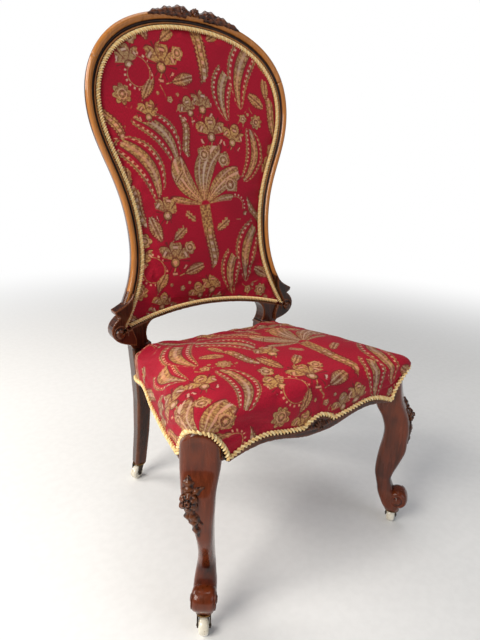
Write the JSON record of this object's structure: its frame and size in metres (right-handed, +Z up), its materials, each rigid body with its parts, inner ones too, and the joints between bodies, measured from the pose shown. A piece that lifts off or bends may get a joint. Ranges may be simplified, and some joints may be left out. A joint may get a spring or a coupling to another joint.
{
  "type": "balloon back chair",
  "caption": "Upholstered spoon-back nursing chair with carved show-wood, cabriole front legs and swivelling ceramic castors.",
  "frame": {"origin": "on the floor, midway between the sides and midway from the front castors to the crest", "axes": "+Z up, -Y toward the sitter's front, +X to the side that is the sitter's left"},
  "size_m": [0.5118, 0.5116, 1.0075],
  "materials": {
    "frame_wood": "french polished dark walnut, worn to brown on the lit faces",
    "carved_wood": "french polished dark walnut, darker in the cuts",
    "plain_wood": "unpolished beech",
    "cover_fabric": "matt woven crimson with a gold paisley and floral pattern",
    "gimp": "twisted cream and gold upholstery cord",
    "stuffing": "matt horsehair and flock",
    "hessian": "matt loose jute weave",
    "webbing": "matt jute herringbone tape",
    "spring_steel": "coppered steel wire, dulled",
    "castor_iron": "dark and worn",
    "castor_brass": "tarnished",
    "castor_ceramic": "opaque white glazed porcelain"
  },
  "bodies": {
    "chair": {"right_back_upright": "frame_wood", "left_back_upright": "frame_wood", "crest_rail": "frame_wood", "crest_dowels": "plain_wood", "lower_back_rail": "frame_wood", "right_ear_scroll": "carved_wood", "left_ear_scroll": "carved_wood", "right_front_leg": "frame_wood", "left_front_leg": "frame_wood", "front_seat_rail": "frame_wood", "rear_seat_rail": "frame_wood", "right_seat_rail": "frame_wood", "left_seat_rail": "frame_wood", "right_front_corner_block": "plain_wood", "left_front_corner_block": "plain_wood", "right_rear_corner_block": "plain_wood", "left_rear_corner_block": "plain_wood", "crest_carving": "carved_wood", "right_knee_carving": "carved_wood", "left_knee_carving": "carved_wood", "front_rail_carving": "carved_wood", "back_canvas": "hessian", "back_stuffing": "stuffing", "back_front_cover": "cover_fabric", "back_rear_cover": "cover_fabric", "back_webbing": "webbing", "back_gimp_cord": "gimp", "seat_webbing": "webbing", "seat_springs": "spring_steel", "seat_dust_cover": "hessian", "spring_hessian": "hessian", "seat_stuffing": "stuffing", "seat_cover": "cover_fabric", "seat_gimp_cord": "gimp", "front_left_castor_plate": "castor_iron", "front_left_castor_screws": "castor_brass", "front_right_castor_plate": "castor_iron", "front_right_castor_screws": "castor_brass", "rear_left_castor_plate": "castor_iron", "rear_left_castor_screws": "castor_brass", "rear_right_castor_plate": "castor_iron", "rear_right_castor_screws": "castor_brass"},
    "front_left_fork": {"front_left_castor_fork": "castor_iron", "front_left_castor_axle": "castor_brass"},
    "front_left_wheel": {"front_left_castor_wheel": "castor_ceramic"},
    "front_right_fork": {"front_right_castor_fork": "castor_iron", "front_right_castor_axle": "castor_brass"},
    "front_right_wheel": {"front_right_castor_wheel": "castor_ceramic"},
    "rear_left_fork": {"rear_left_castor_fork": "castor_iron", "rear_left_castor_axle": "castor_brass"},
    "rear_left_wheel": {"rear_left_castor_wheel": "castor_ceramic"},
    "rear_right_fork": {"rear_right_castor_fork": "castor_iron", "rear_right_castor_axle": "castor_brass"},
    "rear_right_wheel": {"rear_right_castor_wheel": "castor_ceramic"}
  },
  "joints": [
    {"name": "front_left_swivel", "type": "hinge", "parent": "chair", "child": "front_left_fork", "pos_m": [-0.22704, -0.2235, 0.034], "axis": [0, 0, 1], "continuous": true},
    {"name": "front_left_roll", "type": "hinge", "parent": "front_left_fork", "child": "front_left_wheel", "pos_m": [-0.23249, -0.23189, 0.015], "axis": [0.8387, -0.5446, 0], "continuous": true},
    {"name": "front_right_swivel", "type": "hinge", "parent": "chair", "child": "front_right_fork", "pos_m": [0.22704, -0.2235, 0.034], "axis": [0, 0, 1], "continuous": true},
    {"name": "front_right_roll", "type": "hinge", "parent": "front_right_fork", "child": "front_right_wheel", "pos_m": [0.23534, -0.21791, 0.015], "axis": [-0.5592, 0.829, 0], "continuous": true},
    {"name": "rear_left_swivel", "type": "hinge", "parent": "chair", "child": "rear_left_fork", "pos_m": [-0.159, 0.205, 0.034], "axis": [0, 0, 1], "continuous": true},
    {"name": "rear_left_roll", "type": "hinge", "parent": "rear_left_fork", "child": "rear_left_wheel", "pos_m": [-0.16799, 0.20062, 0.015], "axis": [0.4384, -0.8988, 0], "continuous": true},
    {"name": "rear_right_swivel", "type": "hinge", "parent": "chair", "child": "rear_right_fork", "pos_m": [0.159, 0.205, 0.034], "axis": [0, 0, 1], "continuous": true},
    {"name": "rear_right_roll", "type": "hinge", "parent": "rear_right_fork", "child": "rear_right_wheel", "pos_m": [0.164, 0.19634, 0.015], "axis": [0.866, 0.5, 0], "continuous": true}
  ]
}
